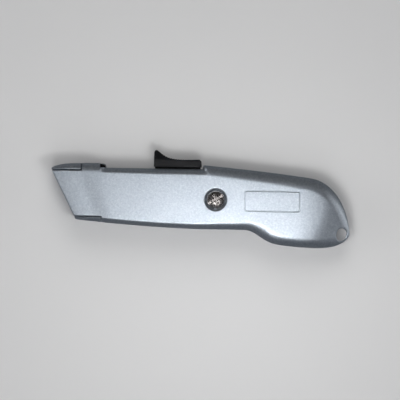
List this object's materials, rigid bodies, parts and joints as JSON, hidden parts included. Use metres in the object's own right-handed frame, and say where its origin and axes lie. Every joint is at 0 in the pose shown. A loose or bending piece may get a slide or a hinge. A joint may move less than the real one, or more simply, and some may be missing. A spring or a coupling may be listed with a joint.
{
  "type": "utility knife",
  "caption": "Retractable utility knife with die-cast silver casings, thumb slider on top, screw-held halves, hooked tail with a lanyard hole, trapezoid blade and spares inside.",
  "frame": {"origin": "on the flat outer face of the far casing, under the axis of the casing screw", "axes": "+X along the knife towards its tail, +Y towards the thumb button, +Z through the thickness, out of the face with the screw"},
  "size_m": [0.1552, 0.0496, 0.019],
  "materials": {
    "casing": "satin",
    "black_plastic": "satin",
    "screw_steel": "polished",
    "blade_steel": "satin",
    "spring_steel": "satin",
    "pin_steel": "satin",
    "brass": "satin",
    "carrier_alloy": "matte"
  },
  "bodies": {
    "far_body": {"far_casing": "casing", "threaded_insert": "brass", "index_strip": "black_plastic", "spare_blade_tray": "black_plastic", "spare_blade_1": "blade_steel", "spare_blade_2": "blade_steel", "spare_blade_3": "blade_steel", "spare_blade_4": "blade_steel", "spare_blade_5": "blade_steel"},
    "near_body": {"near_casing": "casing", "spare_blade_clip": "spring_steel", "clip_rivet": "pin_steel"},
    "retainer": {"screw_retainer": "spring_steel"},
    "screw": {"casing_screw": "screw_steel"},
    "slider": {"blade_carrier": "carrier_alloy", "blade_pins": "pin_steel", "button_pin": "pin_steel", "button_spring": "spring_steel", "spring_rivet": "pin_steel", "utility_blade": "blade_steel"},
    "button": {"thumb_button": "black_plastic"}
  },
  "joints": [
    {"name": "blade_slide", "type": "slide", "parent": "far_body", "child": "slider", "axis": [-1, 0, 0], "range_m": [0, 0.024]},
    {"name": "button_press", "type": "slide", "parent": "slider", "child": "button", "axis": [0, -1, 0], "range_m": [0, 0.0006], "stiffness_N_per_m": 2000, "springref_m": -0.001, "deforming": ["button_spring"]},
    {"name": "near_casing_lift", "type": "slide", "parent": "far_body", "child": "near_body", "axis": [0, 0, 1], "range_m": [0, 0.03]},
    {"name": "screw_out", "type": "slide", "parent": "near_body", "child": "retainer", "axis": [0, 0, 1], "range_m": [0, 0.005]},
    {"name": "screw_turn", "type": "hinge", "parent": "retainer", "child": "screw", "pos_m": [0, 0, 0.016], "axis": [0, 0, 1], "range_deg": [0, 2250]}
  ],
  "couplings": [
    {"joint": "screw_turn", "follows": "screw_out", "rad_per_m": 7854}
  ]
}
